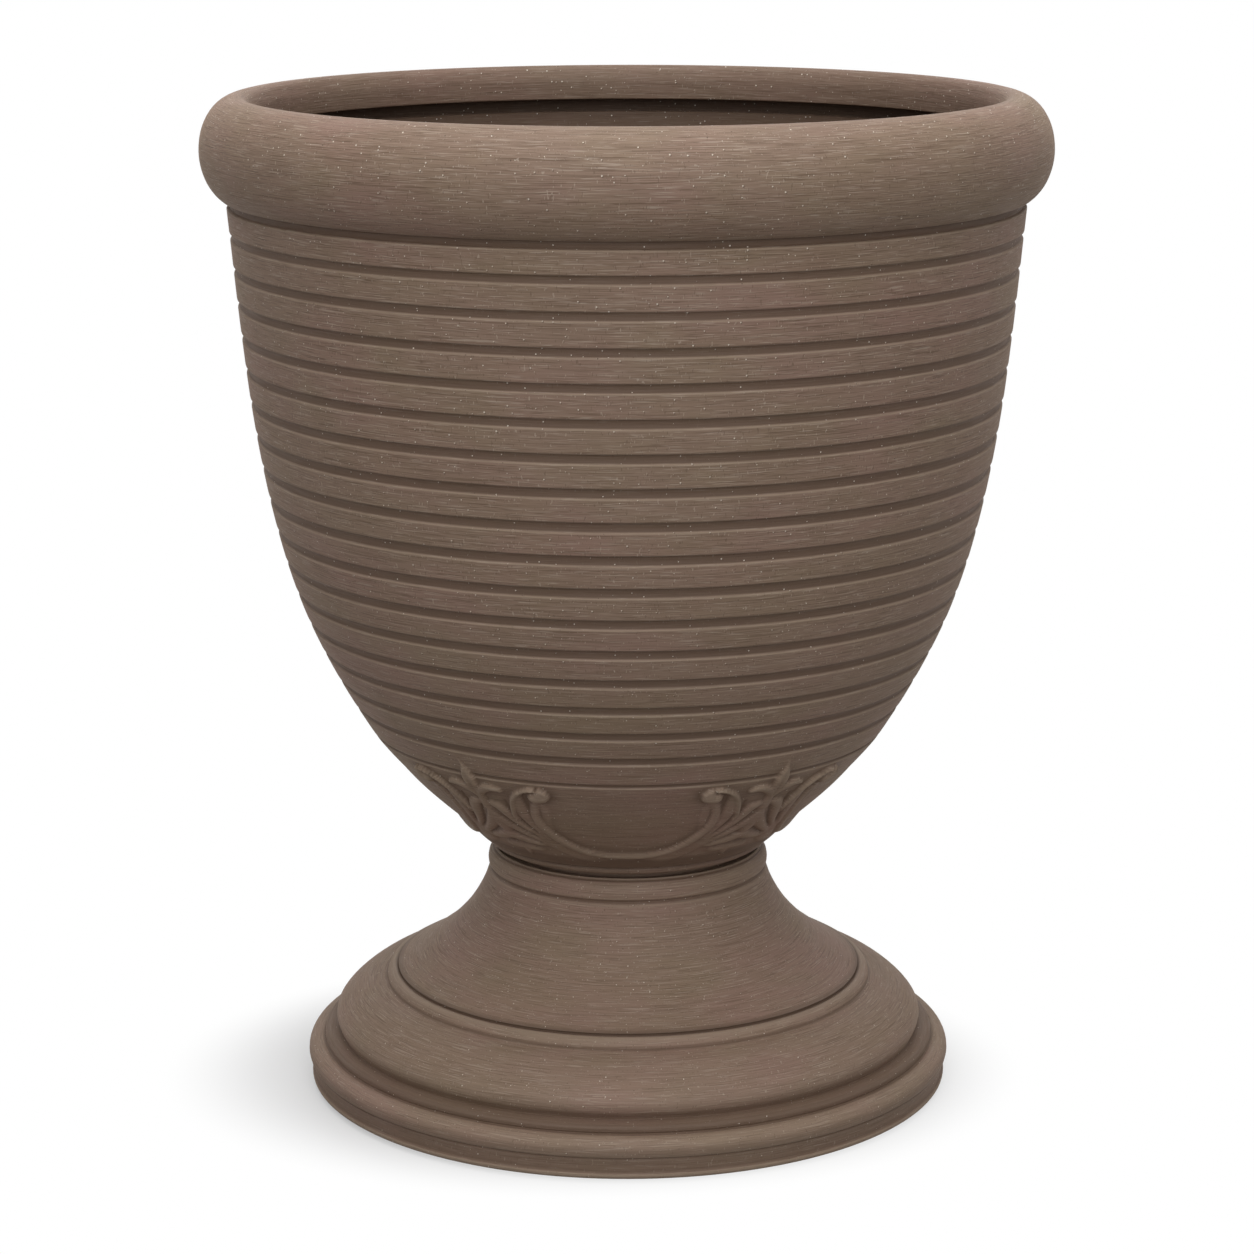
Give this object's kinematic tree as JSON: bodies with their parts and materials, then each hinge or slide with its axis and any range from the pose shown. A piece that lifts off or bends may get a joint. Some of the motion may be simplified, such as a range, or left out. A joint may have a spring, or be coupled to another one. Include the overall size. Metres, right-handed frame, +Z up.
{
  "type": "urn planter",
  "caption": "Urn-shaped floor planter with a ringed bowl, rolled rim and scroll frieze on a flared round pedestal; holds soil or a plant pot and drains through a plugged hole.",
  "frame": {"origin": "on the floor, at the centre of the ring that the pedestal stands on", "axes": "+Z up along the axis of the urn; the middle of one scroll panel of the frieze faces -Y"},
  "size_m": [0.4064, 0.4064, 0.4896],
  "materials": {
    "weathered_resin": "moulded resin with a brushed, weathered-stone look in warm taupe brown",
    "seal_rubber": "black rubber",
    "screen_plastic": "plain dark moulded plastic",
    "fastener_steel": "zinc-plated steel"
  },
  "bodies": {
    "planter": {"bowl": "weathered_resin", "pedestal": "weathered_resin", "bolt_1": "fastener_steel", "sealing_washer_1": "seal_rubber", "nut_1": "fastener_steel", "bolt_2": "fastener_steel", "sealing_washer_2": "seal_rubber", "nut_2": "fastener_steel", "bolt_3": "fastener_steel", "sealing_washer_3": "seal_rubber", "nut_3": "fastener_steel", "bolt_4": "fastener_steel", "sealing_washer_4": "seal_rubber", "nut_4": "fastener_steel"},
    "drain_plug": {"drain_plug": "seal_rubber"},
    "drain_screen": {"drain_screen": "screen_plastic"}
  },
  "joints": [
    {"name": "plug_pull", "type": "slide", "parent": "planter", "child": "drain_plug", "axis": [0, 0, -1], "range_m": [0, 0.09]},
    {"name": "screen_lift", "type": "slide", "parent": "planter", "child": "drain_screen", "axis": [0, 0, 1], "range_m": [0, 0.36]}
  ]
}
